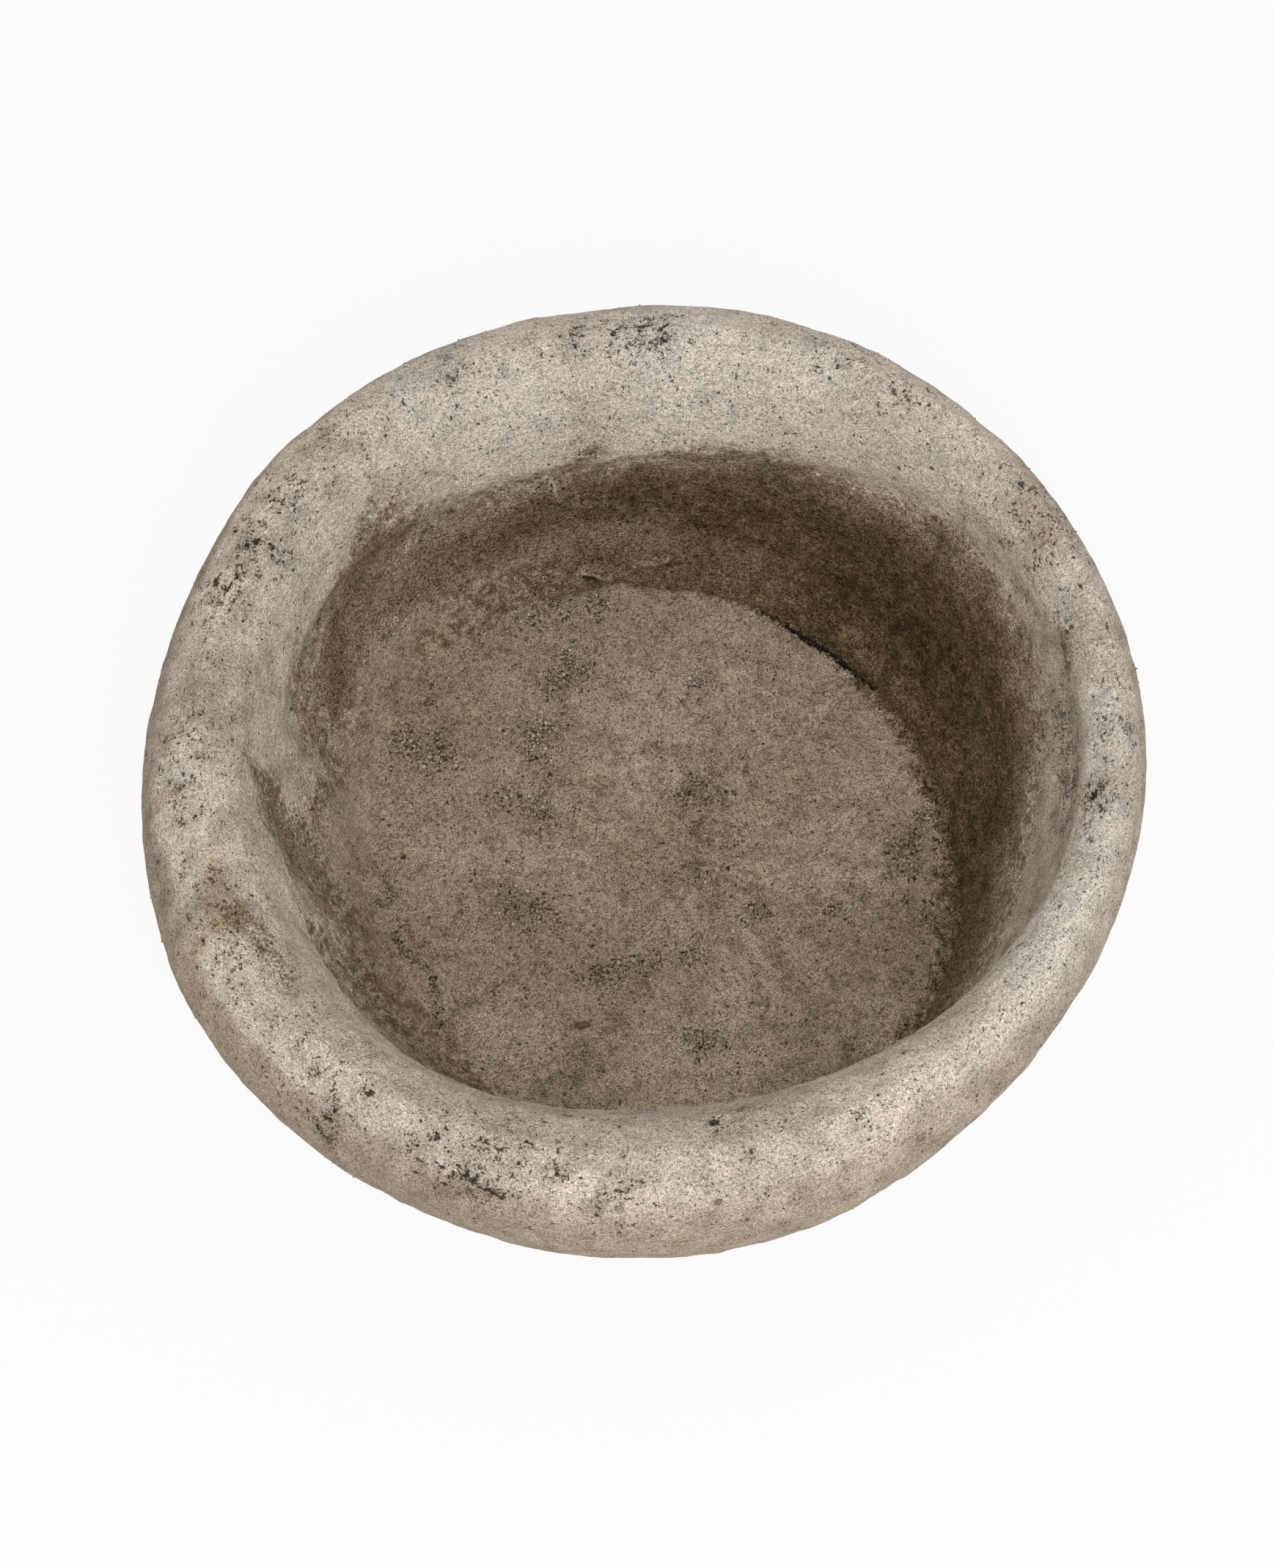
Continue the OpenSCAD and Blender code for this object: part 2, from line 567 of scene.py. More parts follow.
bowl_points = points_of(bowl)
bowl_normals = normals_of(bowl)
bowl_ragged = ragged(bowl_points, 4 * mm, 22 * mm, 5)
outwards = bowl_points * (1, 1, 0)
outwards /= np.linalg.norm(outwards, axis=1)[:, None]
facing_out = np.sum(bowl_normals * outwards, axis=1)
on_wall = smooth_step(-facing_out, 0.45, 0.85)
bowl_relief = np.zeros(len(bowl_points))
add_noise(bowl_relief, bowl_points, (1.5, 110, 2, 11), (0.9, 34, 2, 12), (0.5, 10, 2, 13))
bowl_relief += (0.25 + 0.35 * on_wall) * cloud(stroke_places(bowl_points), 5 * mm, 2, 14)
print("unevenness in mm: from", round(bowl_relief.min(), 1), "to", round(bowl_relief.max(), 1))

# %% [markdown]
# Then the places that make this bowl the one in the photograph: the hollows that fingers left
# under the lip, with soft ribs between them; the two worn saddles across the left of the rim;
# the notch in its right; and thin folds where wet mortar slid down the far wall.

# %% Bowl's own dents and ribs
finger_hollows = [[(425, 940), (440, 1000), (480, 1062)], [(378, 1092), (415, 1165), (458, 1240)],
                  [(432, 1276), (500, 1360), (598, 1446)]]
finger_ribs = [[(339, 940), (378, 988), (440, 1071)], [(392, 1215), (440, 1250), (500, 1300)]]
worn_saddles = [(250, 935, 24, 1), (225, 1190, 30, 1), (235, 1130, 20, 0.8), (232, 1250, 22, 0.8)]
rim_notches = [(1505, 922, 13, 1), (1475, 905, 10, 1), (1447, 830, 12, 0.6)]
knobbly_places = [
    (1452, 1000, 26, 1), (1460, 1060, 26, 1), (1455, 1115, 22, 0.8), (1420, 760, 30, 0.6),
    (1375, 690, 30, 0.5), (300, 1240, 30, 0.6), (420, 1450, 40, 0.5), (240, 1010, 24, 0.6)]
hollow_width, rib_width, fold_width = 19, 11, 2.8
crevice_width, crevice_drop = 2.0, 4.5 * mm

knobbly = spots(bowl_ragged, knobbly_places)
bowl_relief += 2.0 * knobbly * cloud(bowl_points, 11 * mm, 3, 15)
for hollow in finger_hollows:
    bowl_relief -= 2.4 * bell(distance_to_trail(bowl_ragged, hollow), hollow_width)
bowl_relief -= 2.5 * spots(bowl_ragged, worn_saddles)
bowl_relief -= 3.5 * spots(bowl_ragged, rim_notches)
for rib in finger_ribs:
    bowl_relief += 2.2 * bell(distance_to_trail(bowl_ragged, rib), rib_width)
# Under each fold a crevice is sunk; the same band is later painted dark as the fold's shadow, and the crest
# is kept light.
bowl_crevices_and_shadows, bowl_crests = np.zeros(len(bowl_points)), np.zeros(len(bowl_points))
for fold in wall_folds:
    fold_gap = distance_to_trail(bowl_ragged, fold) + 0.8 * cloud(bowl_points, 6 * mm, 2, 16)
    bowl_crests = np.maximum(bowl_crests, bell(fold_gap, fold_width))
    under_fold = distance_to_trail(bowl_ragged + (0, 0, crevice_drop), fold)
    bowl_crevices_and_shadows = np.maximum(bowl_crevices_and_shadows, bell(under_fold, crevice_width))
bowl_relief += 2.8 * bowl_crests - 3.4 * bowl_crevices_and_shadows
print("relief in mm: from", round(bowl_relief.min(), 1), "to", round(bowl_relief.max(), 1))

# %% [markdown]
# Pits are dug one by one. A search tree finds the points near each pit's middle, and they sink
# by a rounded, slightly squashed shape. Most pits are scattered at random, thickest where the
# photograph shows rough places. The largest are put where they show. How deep each point was
# dug is kept, because the material darkens the pits by it, with dirt and painted shade.


# %% Pits
search_share, squashing, crumbling, flat_share = 1.6, 1.2, 0.25, 0.35


def dig(points, pits):
    """How deep each point is dug, in mm, by pits given as a middle, a radius in mm and a depth."""
    tree = kdtree.KDTree(len(points))
    for count, point in enumerate(points):
        tree.insert(point, count)
    tree.balance()
    dice = np.random.default_rng(3)
    deep = np.zeros(len(points))
    for middle, radius, depth in pits:
        found = [index for _, index, _ in tree.find_range(middle, radius * mm * search_share)]
        if not found:
            continue
        away = points[found] - middle
        squash = dice.normal(size=3)
        squash /= np.linalg.norm(squash)
        reach = np.linalg.norm(away + squashing * (away @ squash)[:, None] * squash, axis=1)
        reach += crumbling * radius * mm * dice.normal(size=len(found))
        pit_shape = depth * (1 - smooth_step(reach / (radius * mm), flat_share, 1.0))
        deep[found] = np.maximum(deep[found], pit_shape)
    return deep


def scatter(chances, count, seed):
    """Which points are picked at random, more of them where the chances are high."""
    dice = np.random.default_rng(seed)
    return dice.choice(len(chances), count, replace=False, p=chances / chances.sum())


def random_pits(middles, smallest, largest, seed):
    """Pits at the middles, many of them small and few large, about half as deep as wide."""
    dice = np.random.default_rng(seed)
    radii = smallest + (largest - smallest) * dice.random(len(middles)) ** 3
    return [(middle, radius, 0.75 * radius) for middle, radius in zip(middles, radii)]


print("pits are ready to dig")

# %% Bowl's pits
rough_rim = [
    (880, 450, 24, 1), (790, 445, 16, 0.8), (600, 500, 30, 0.5), (350, 740, 22, 1), (300, 795, 22, 1),
    (250, 985, 20, 0.6), (230, 1050, 18, 0.7), (250, 1090, 16, 0.6), (1495, 1085, 18, 0.8),
    (1440, 700, 26, 0.7), (1510, 1000, 16, 0.6), (640, 1610, 26, 1), (440, 1530, 20, 1),
    (760, 1600, 20, 0.6), (850, 1640, 16, 0.7), (600, 1555, 20, 0.6), (980, 1525, 16, 0.7),
    (700, 1545, 26, 0.6), (320, 1280, 24, 0.7), (1150, 470, 26, 0.5), (1230, 540, 24, 0.5),
    (380, 660, 26, 0.6), (470, 580, 24, 0.6)]
large_chips = [
    (834, 449, 4.5), (877, 440, 5), (908, 440, 4), (786, 443, 3), (905, 464, 3.2), (633, 1607, 3.5),
    (648, 1609, 3.5), (642, 1617, 3), (662, 1627, 3.4), (672, 1632, 3), (682, 1638, 3.4), (598, 1595, 3),
    (603, 1618, 3), (563, 1602, 2.6), (440, 1528, 4), (428, 1539, 3.4), (756, 1602, 3.6), (778, 1518, 4.5),
    (973, 1527, 4.5), (795, 1522, 3), (1490, 1083, 4), (1483, 1070, 2.6), (1447, 888, 4), (335, 742, 3.4),
    (352, 738, 3), (372, 745, 3), (290, 790, 4), (312, 800, 3), (325, 785, 3), (1345, 757, 2.6),
    (843, 1650, 3), (500, 1492, 4), (595, 1551, 3.4), (1392, 660, 2.6)]
bowl_torn = ragged(bowl_points, 10 * mm, 18 * mm, 9)
seen_rough = spots(bowl_torn, rough_rim)
shown = smooth_step(bowl_points[:, 2], 0.06, 0.12)
rough_patches = np.clip(cloud(bowl_points, 30 * mm, 2, 21), 0, 1)
pit_chances = shown * (0.12 + 1.4 * seen_rough ** 1.5 + 0.3 * rough_patches)
pit_middles = bowl_points[scatter(pit_chances, count=4200, seed=22)]
bowl_pits = random_pits(pit_middles, smallest=0.9, largest=2.6, seed=23)
bowl_pits += [(seen(x, y), radius, 0.85 * radius) for x, y, radius in large_chips]
bowl_dug = dig(bowl_points, bowl_pits)
bowl_relief -= bowl_dug
print("pits on the bowl:", len(bowl_pits))

# %% [markdown]
# Where a stain or a worn patch lies is also a number for every point. The dark film is partly the
# growth that lives where rain water stands and dries slowly, and partly painted shade: under the
# lip, at the back and right, and in the finger hollows. Ochre runs off iron in the sand. Lime is the
# pale bloom on what the sun and the rain scrub, and it also carries painted light.

# %% Bowl's stains
# A row for each direction: degrees; the tide line's height in mm; how thick the film and painted
# shade are there; the share that is left of it at the foot of the wall; the height below which it
# thins, in mm; and how far it runs onto the bed, in mm.
tide_and_shade_line = [
    (0, 103, 1.05, 0.85, 90, 20), (12, 129, 1.15, 0.6, 95, 18), (25, 146, 1.15, 0.7, 92, 16),
    (45, 139, 1.3, 0.65, 88, 14), (70, 149, 1.15, 0.5, 100, 8), (97, 145, 1.06, 0.45, 118, 5),
    (112, 140, 0.92, 0.4, 112, 4), (127, 133, 0.74, 0.2, 100, 4), (143, 129, 0.6, 0.15, 112, 4),
    (175, 124, 0.4, 0.0, 112, 4), (215, 110, 0.3, 0.3, 90, 4), (250, 85, 0.15, 1.0, 80, 8),
    (310, 80, 0.2, 1.0, 80, 16), (340, 93, 0.72, 1.0, 90, 20)]
# Smears: dark streaks down the wall; the first three follow the finger hollows and paint their shade.
smears_and_shade = [([(412, 935), (425, 975), (445, 1015)], 24, 0.34),
          ([(380, 1096), (415, 1165), (455, 1238)], 22, 0.45),
          ([(436, 1282), (505, 1364), (596, 1444)], 17, 0.22),
          ([(520, 745), (475, 830), (455, 930)], 24, 0.68),
          ([(330, 1255), (362, 1290), (385, 1330)], 10, 0.2)]
# Film spots: growth, and painted shade on the right wall and under the notch in the right lip.
film_places = [
    (800, 622, 14, 0.25), (1345, 860, 16, 0.4), (1390, 900, 22, 0.35), (1400, 985, 26, 0.35),
    (1390, 1090, 22, 0.3), (1449, 870, 7, 0.6), (1452, 900, 8, 0.6)]
ochre_places = [
    (215, 1095, 10, 0.9), (240, 1080, 11, 0.6), (300, 1180, 13, 0.7), (262, 1290, 13, 0.9),
    (290, 1255, 14, 0.7), (265, 980, 13, 0.6), (300, 890, 12, 0.4), (1490, 1080, 14, 0.45),
    (1420, 735, 18, 0.6), (1385, 690, 18, 0.5), (320, 1240, 12, 0.6), (1110, 640, 12, 0.5),
    (455, 560, 16, 0.4)]
grey_places = [
    (255, 935, 22, 0.7), (205, 1180, 18, 0.8), (222, 1225, 20, 0.8), (240, 1262, 16, 0.7),
    (330, 960, 18, 0.4), (200, 1110, 12, 0.5)]
# Lime: pale bloom, and painted light on the far slope, the right rim and the inner side of the near lip.
lime_places = [
    (520, 1465, 30, 0.4), (660, 1535, 30, 0.4), (900, 1545, 40, 0.35), (505, 1360, 24, 0.5),
    (1310, 1420, 50, 0.5), (1420, 1330, 50, 1.0), (1470, 1270, 50, 1.5), (1510, 1130, 36, 1.1),
    (1500, 1010, 34, 1.0), (1490, 960, 26, 1.1), (1440, 800, 34, 0.9), (930, 540, 80, 1.2),
    (700, 580, 60, 1.2), (600, 560, 60, 1.0), (240, 1050, 12, 0.9), (350, 860, 24, 0.6),
    (440, 720, 50, 0.8), (388, 815, 34, 0.9), (375, 1120, 26, 0.6), (540, 1110, 34, 0.9),
    (540, 1230, 30, 0.7), (545, 1000, 26, 0.5), (700, 1420, 40, 0.3), (455, 1400, 30, 0.6),
    (950, 1492, 24, 0.9), (1250, 620, 50, 0.8), (1100, 530, 50, 1.0), (1340, 650, 40, 0.7)]
earth_places = [
    (205, 1000, 20, 0.6), (205, 1200, 20, 0.6), (295, 1228, 26, 0.75), (240, 850, 26, 0.5),
    (300, 960, 22, 0.4), (330, 1100, 26, 0.3), (430, 630, 40, 0.3), (600, 495, 30, 0.3),
    (1453, 1050, 16, 0.5), (1395, 850, 30, 0.5), (1330, 780, 24, 0.4), (1230, 690, 24, 0.3)]


def around(points, table, column):
    """One column of a table that is given by degrees, for the direction that each point lies in."""
    line = np.array(table).T
    return np.interp(np.degrees(angle_of(points)), line[0], line[column], period=360)


core_reach = 268 * mm


def tide_film(points):
    """How thick the dark film and painted shade are: strongest a little below the tide line, and thinner at
    the foot.
    """
    height, strength, foot, foot_top = (around(points, tide_and_shade_line, column) for column in (1, 2, 3, 4))
    inside = smooth_step(reach_of(points), core_reach, core_reach - 6 * mm)
    torn = 10 * mm * cloud(points, 40 * mm, 3, 24) + 9 * mm * cloud(stroke_places(points), 9 * mm, 2, 25)
    below = height * mm + torn - points[:, 2]
    foot += (1 - foot) * smooth_step(points[:, 2], foot_top * mm - 25 * mm, foot_top * mm)
    patches = 1 + 0.2 * cloud(stroke_places(points), 16 * mm, 2, 27)
    return strength * smooth_step(below, -32 * mm, 32 * mm) * foot * patches * inside


def smear_film(points):
    """Dark smears that wet hands drew down the wall, and painted shade in the finger hollows: streaks along
    a way through some pixels.
    """
    film = np.zeros(len(points))
    for pixels, half_width, strength in smears_and_shade:
        way = np.array(seen(*pixels[-1])) - np.array(seen(*pixels[0]))
        way /= np.linalg.norm(way)
        drawn_out = points - 0.85 * (points @ way)[:, None] * way
        gap = distance_to_trail(points, pixels) / half_width + 0.7 * cloud(drawn_out, 9 * mm, 2, 26)
        film = np.maximum(film, strength * smooth_step(gap, 1.8, 0.0))
    return film


def hollow_side(points, normals):
    """1 on the side of a piece that faces the hollow, 0 on the outside and under the foot."""
    reach = np.maximum(reach_of(points), mm)[:, None]
    turned_out = np.sum(normals * points * (1, 1, 0) / reach, axis=1)
    return smooth_step(normals[:, 2] - turned_out, 0.0, 0.5)


bowl_film = tide_film(bowl_points) * hollow_side(bowl_points, bowl_normals)
bowl_film = np.maximum(bowl_film, spots(bowl_ragged, film_places))
bowl_film = np.maximum(bowl_film, smear_film(bowl_ragged))
# The outer side is browner, more on the left than on the right: painted shade on the side turned away from
# the light.
outer_side = smooth_step(facing_out, 0.6, 1.0)
side_shade = 0.8 - 0.3 * outwards[:, 0]
# lines paints the shadow under each fold, and the film is thinner on the folds' crests, a painted
# highlight.
remember(bowl, dug=bowl_dug / 1.5, lines=bowl_crevices_and_shadows, wall=on_wall,
         coarse=0.7 * np.maximum(seen_rough, knobbly), film=bowl_film * (1 - 0.6 * bowl_crests),
         ochre=spots(bowl_ragged, ochre_places), grey=spots(bowl_ragged, grey_places),
         earth=np.maximum(side_shade * outer_side, spots(bowl_ragged, earth_places)),
         lime=spots(bowl_ragged, lime_places))
print("stained share of the bowl:", round(float(np.mean(tide_film(bowl_points) > 0.5)), 3))

# %% Bowl's finished mesh
most_triangles = 192000


def count_triangles(piece):
    return sum(len(face.vertices) - 2 for face in piece.data.polygons)


def settle(piece, points):
    """Gives a piece its sculpted points, and thins out its faces where it is smooth."""
    move_points(piece, points)
    if count_triangles(piece) > most_triangles:
        apply_modifier(piece, "DECIMATE", ratio=most_triangles / count_triangles(piece))
    make_active(piece)
    bpy.ops.object.shade_smooth()
    print(piece.name, "has", count_triangles(piece), "triangles")


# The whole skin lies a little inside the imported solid, so that no lump stands out past it.
bowl_sunk = 0.8
bowl_points += bowl_normals * (bowl_relief - bowl_sunk)[:, None] * mm
bowl_points[:, 2] = np.maximum(bowl_points[:, 2], 0)
settle(bowl, bowl_points)
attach(bowl, "root")
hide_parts("stone_bowl")

# %% [markdown]
# The mortar bed shows how it was made: the mason worked round a swirl near the middle, and each
# pull of the trowel left a shallow petal with a fine crease at its edge. At the back right the
# bed has shrunk away from the wall and left an open crack, at the right it broke in layers, and
# along the left its edge is coarse and full of holes.

# %% Bed's trowel strokes
bed_points = points_of(bed)
bed_ragged = ragged(bed_points, 4 * mm, 18 * mm, 6)
from_swirl = bed_ragged - swirl
swirl_reach = reach_of(from_swirl)
swirl_angle = angle_of(from_swirl) + 2.2 * swirl_reach


def petals(turns, reach_size, seed):
    """Noise that runs out from the swirl in rays, with no seam: it is drawn on a cone."""
    cone = np.stack([np.cos(swirl_angle), np.sin(swirl_angle), swirl_reach / reach_size], axis=1)
    return cloud(cone * (turns, turns, 1), 1.0, 2, seed)


petal_fade = smooth_step(swirl_reach, 0.17, 0.05) * smooth_step(swirl_reach, 0.0, 0.02)
broad_petals = petals(1.9, 0.11, 41)
fine_rays = petals(9, 0.14, 42)
crease = np.clip(1 - 9 * np.abs(broad_petals), 0, 1) ** 2
bed_relief = petal_fade * (0.7 * broad_petals + 0.3 * fine_rays - 0.5 * crease)
add_noise(bed_relief, bed_points, (1.1, 90, 2, 43), (0.45, 26, 3, 44), (0.16, 5, 2, 45))
print("trowel strokes in mm: from", round(bed_relief.min(), 1), "to", round(bed_relief.max(), 1))

# %% Bed's cracks and ledge
open_crack = [(1030, 822), (1060, 842), (1092, 866), (1120, 880), (1152, 903), (1191, 935)]
side_cracks = [[(1247, 1037), (1262, 1050), (1275, 1076)], [(1268, 1078), (1278, 1098), (1277, 1110)],
               [(1272, 1130), (1280, 1152), (1278, 1190)]]
ledge = [(1268, 1110), (1262, 1160), (1268, 1215), (1260, 1262)]
scratches = [[(1147, 951), (1149, 977), (1153, 1022), (1158, 1053), (1168, 1079), (1178, 1096)],
             [(1192, 1245), (1183, 1262), (1170, 1275)], [(590, 925), (570, 945), (560, 965)],
             [(958, 1182), (962, 1205), (985, 1262)], [(998, 1195), (1032, 1198)],
             [(940, 1195), (956, 1228)], [(715, 855), (760, 840), (800, 815), (840, 795), (862, 786)],
             [(1085, 950), (1112, 985), (1135, 1040)], [(640, 1395), (668, 1352), (705, 1318)]]
crack_gap = distance_to_trail(ragged(bed_points, 1.6 * mm, 7 * mm, 7), open_crack)
crack_gap += 1.0 * cloud(bed_points, 14 * mm, 2, 46) + 1.4 * cloud(bed_points, 5 * mm, 2, 54)
crack = 1 - smooth_step(crack_gap, 1.2, 2.6)
open_joint = bell(crack_gap, 14)
bed_relief += open_joint
bed_dug = 1.6 * crack
bed_lines = crack.copy()
for side_crack in side_cracks:
    gap = distance_to_trail(bed_ragged, side_crack) + 0.7 * cloud(bed_points, 8 * mm, 2, 47)
    narrow = 1 - smooth_step(gap, 0.3, 1.5)
    bed_relief -= 2.2 * narrow
    bed_lines = np.maximum(bed_lines, narrow)
ledge_gap = distance_to_trail(bed_ragged, ledge) + 3 * cloud(bed_points, 9 * mm, 3, 48)
bed_relief -= 1.3 * smooth_step(ledge_gap, 7.5, 6.2)
# Each scratch is a shallow groove, and its line is also painted dark as the groove's shade.
for scratch in scratches:
    line = bell(distance_to_trail(bed_ragged, scratch), 1.1)
    bed_relief -= 0.7 * line
    bed_lines = np.maximum(bed_lines, 0.55 * line)
print("crack is open over", int(np.sum(crack > 0.5)), "points")

# %% Bed's pits
coarse_edge = [(514, 1176), (519, 1205), (524, 1238), (541, 1280), (566, 1315), (591, 1364), (604, 1392)]
coarse_places = [
    (740, 805, 24, 0.9), (800, 820, 18, 0.7), (790, 905, 18, 1), (760, 920, 14, 0.9), (540, 1010, 18, 0.9),
    (590, 1015, 20, 1), (620, 1035, 14, 0.8), (730, 1010, 16, 0.8), (745, 1030, 12, 0.7),
    (700, 1090, 14, 0.7), (740, 1095, 16, 0.8), (700, 1225, 16, 0.7), (735, 1240, 14, 0.8),
    (725, 1260, 10, 0.7), (830, 1330, 16, 1), (880, 1315, 14, 0.8), (930, 1300, 14, 0.9),
    (960, 1425, 18, 0.9), (1000, 1430, 12, 0.7), (940, 1080, 12, 1), (985, 1085, 10, 0.8),
    (950, 1180, 8, 0.9), (1025, 1225, 9, 1), (1030, 1255, 9, 1), (1250, 1160, 16, 1), (1262, 1130, 10, 0.8),
    (1255, 1240, 12, 0.7), (1145, 1245, 9, 0.7), (945, 940, 12, 0.7), (570, 945, 10, 0.8),
    (585, 1095, 8, 0.6), (650, 880, 16, 0.5)]
single_pores = [
    (550, 1167, 2.2), (1040, 1013, 1.5), (1056, 926, 1.2), (1136, 1017, 1.2), (1098, 1045, 1.2),
    (1012, 1033, 0.9), (1031, 1087, 0.9), (690, 1173, 1.1), (741, 1217, 1.1), (948, 933, 1.1),
    (938, 945, 1.1), (1209, 964, 1.0)]
bed_torn = ragged(bed_points, 11 * mm, 20 * mm, 8)
edge_gap = distance_to_trail(bed_torn, coarse_edge) + 4 * cloud(bed_points, 12 * mm, 2, 53)
bed_rough = np.maximum(spots(bed_torn, coarse_places), 0.9 * smooth_step(edge_gap, 7, 1))
bed_rough = np.maximum(bed_rough, 0.9 * smooth_step(crack_gap, 6, 2))
bed_chances = (inside_edge(bed_points) > 0) * (0.03 + 1.4 * bed_rough ** 1.5)
pit_middles = bed_points[scatter(bed_chances, count=1300, seed=51)]
bed_pits = random_pits(pit_middles, smallest=0.8, largest=2.2, seed=52)
bed_pits += [(seen(x, y), radius, 2.0 * radius) for x, y, radius in single_pores]
dug_here = dig(bed_points, bed_pits)
bed_relief -= dug_here
bed_dug = np.maximum(bed_dug, dug_here)
print("pits in the bed:", len(bed_pits))

# %% Bed's stains
smudges = [
    (955, 1080, 22, 0.12), (950, 1135, 22, 0.1), (990, 1160, 24, 0.09), (960, 1190, 12, 0.14),
    (920, 1110, 16, 0.08), (1015, 1180, 16, 0.08)]
brown_clouds = [
    (640, 1000, 40, 0.5), (800, 900, 40, 0.4), (740, 1320, 50, 0.6), (880, 1340, 44, 0.6),
    (560, 900, 30, 0.5), (1130, 1290, 40, 0.4), (900, 1240, 30, 0.4), (1240, 1260, 30, 0.6),
    (700, 1080, 36, 0.3), (885, 1160, 30, 0.9)]
# Pale clouds: paler mortar, and painted light on the near part of the bed, where the near wall's shadow
# falls.
pale_and_lit_clouds = [
    (950, 1470, 70, 1.1), (700, 1440, 60, 0.9), (1180, 1400, 50, 0.7), (1180, 1120, 36, 0.35),
    (620, 1120, 36, 0.3), (960, 900, 40, 0.3), (800, 960, 30, 0.3), (1120, 960, 26, 0.35),
    (660, 1400, 40, 0.6)]
# Along the wall the bed takes the wall foot's film and painted shade.
film_width = around(bed_points, tide_and_shade_line, 5) * mm
edge_film = tide_film(bed_points) * smooth_step(inside_edge(bed_ragged), film_width, -8 * mm)
smudged = spots(bed_ragged, smudges)
# Rays: the trowel's streaks, paler on the petals' ridges: tone and painted shade.
ray_patches = 0.6 + cloud(bed_points, 45 * mm, 2, 55)
remember(bed, dug=bed_dug / 1.2, lines=bed_lines, coarse=bed_rough, grey=4 * smudged,
         film=np.maximum(edge_film, smudged),
         earth=spots(bed_ragged, brown_clouds), lime=spots(bed_ragged, pale_and_lit_clouds),
         rays=petal_fade * ray_patches * (0.4 * broad_petals + fine_rays))
print("stained share of the bed:", round(float(np.mean(edge_film > 0.5)), 3))

# %% [markdown]
# Where the wall and the bed meet, the mason fed mortar up the wall: fully at the left, and not at
# all at the right, where the joint shows. So near the wall the bed is drawn up to the stone in a
# soft fillet, by the share that the table below gives, and elsewhere its edge sinks away.

# %% Bed's finished mesh
feed_line = [(0, 0), (60, 0), (110, 0.1), (130, 1), (240, 1), (300, 0.6), (330, 0)]
wall_zone = 40 * mm
feed_height, feed_unevenness, edge_sink, crack_depth = 4.5, 3, 4, 7
bed_points[on_top, 2] += bed_relief[on_top] * mm
near_wall = on_top & (inside_edge(bed_points) < wall_zone)
sculpted_bowl = surface_tree(bowl)
walls = np.array([sculpted_bowl.ray_cast((x, y, bed_high.z + 0.1), (0, 0, -1))[0].z
                  for x, y, _ in bed_points[near_wall]])
feed = around(bed_points[near_wall], feed_line, 1)
feed_cloud = cloud(bed_points[near_wall], 30 * mm, 3, 49)
fed_up = feed * (feed_height + feed_unevenness * feed_cloud) * mm + touch
past_edge = smooth_step(inside_edge(bed_ragged[near_wall]), 1 * mm, -5 * mm)
bed_points[near_wall, 2] -= (1 - feed) * edge_sink * mm * past_edge
over = walls - bed_points[near_wall, 2]
meeting = np.clip(1 - np.abs(over) / fed_up, 0, 1)
bed_points[near_wall, 2] += np.maximum(over, 0) + meeting**2 * fed_up / 4
bed_points[near_wall, 2] -= 0.8 * np.maximum(over - fed_up, 0)
bed_points[on_top, 2] -= crack_depth * crack[on_top] * mm
settle(bed, bed_points)
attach(bed, "root")
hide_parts("mortar_bed")

# %% [markdown]
# Both pieces have stood in the same weather, so one recipe makes both materials. It is built up
# the way the real surface was: a base of sand and lime, then strokes, then stains, then dirt in
# the holes, and at last loose pale grains. Some of these also carry painted light and shade: light
# in the lime, shade in the film, the outer brown, the holes and the fine relief. Colours are written
# as a picture editor shows them.


# %% Colours and patterns
def paint(red, green, blue):
    """A colour given as 0 to 255, the way a picture editor shows it."""
    shares = [value / 255 for value in (red, green, blue)]
    return (*(((share + 0.055) / 1.055) ** 2.4 for share in shares), 1)


def noise(place, size, detail=3, roughness=0.55):
    """Smooth noise in blobs about size across. It stays between about 0.25 and 0.75."""
    sockets = {"Vector": place, "Scale": 1 / size, "Detail": detail, "Roughness": roughness}
    return place.node("ShaderNodeTexNoise", inputs=sockets)


def cells(place, size):
    """Cells, each size across: how far it is to a cell's middle, and a random number for each."""
    cell = place.node("ShaderNodeTexVoronoi", inputs={"Vector": place, "Scale": 1 / size})
    return cell, place.node("ShaderNodeSeparateColor", inputs={0: cell.other("Color")})


def specks(place, size, share, radius, soft):
    """Specks: a share of the cells, each size across, has one, of at most this radius."""
    to_middle, lot = cells(place, size)
    chosen = (lot + share - 1.0).fade(0.0, 0.12)
    return (chosen * radius - to_middle * size).fade(0.0, soft)


def torn(place, size, reach):
    """The place, pushed aside at random, so that what is drawn there has a torn outline."""
    push = place.vector("SUBTRACT", noise(place, size).other("Color"), (0.5, 0.5, 0.5))
    return place.vector("ADD", place, push.shade(reach))


def number(start, name):
    """The number that the mesh remembers under this name."""
    return start.node("ShaderNodeAttribute", {"attribute_name": name}, output="Fac")


def stroke_place(place, pull):
    """The shader's version of stroke_places."""
    outward = place.vector("NORMALIZE", place.vector("MULTIPLY", place, (1, 1, 0)))
    return place.vector("SUBTRACT", place, outward.shade(pull))


def finished(material, output, colour, roughness, height, strength, depth, gloss=0.5):
    """Joins the colour, the roughness and the relief to the material's one shader."""
    bump = height.node("ShaderNodeBump", inputs={"Strength": strength, "Distance": depth, "Height": height})
    surface = height.node("ShaderNodeBsdfPrincipled", inputs={
        "Base Color": colour, "Roughness": roughness, "Normal": bump, "Specular IOR Level": gloss})
    material.node_tree.links.new(surface.socket, output.inputs["Surface"])
    return material


print("patterns are ready")

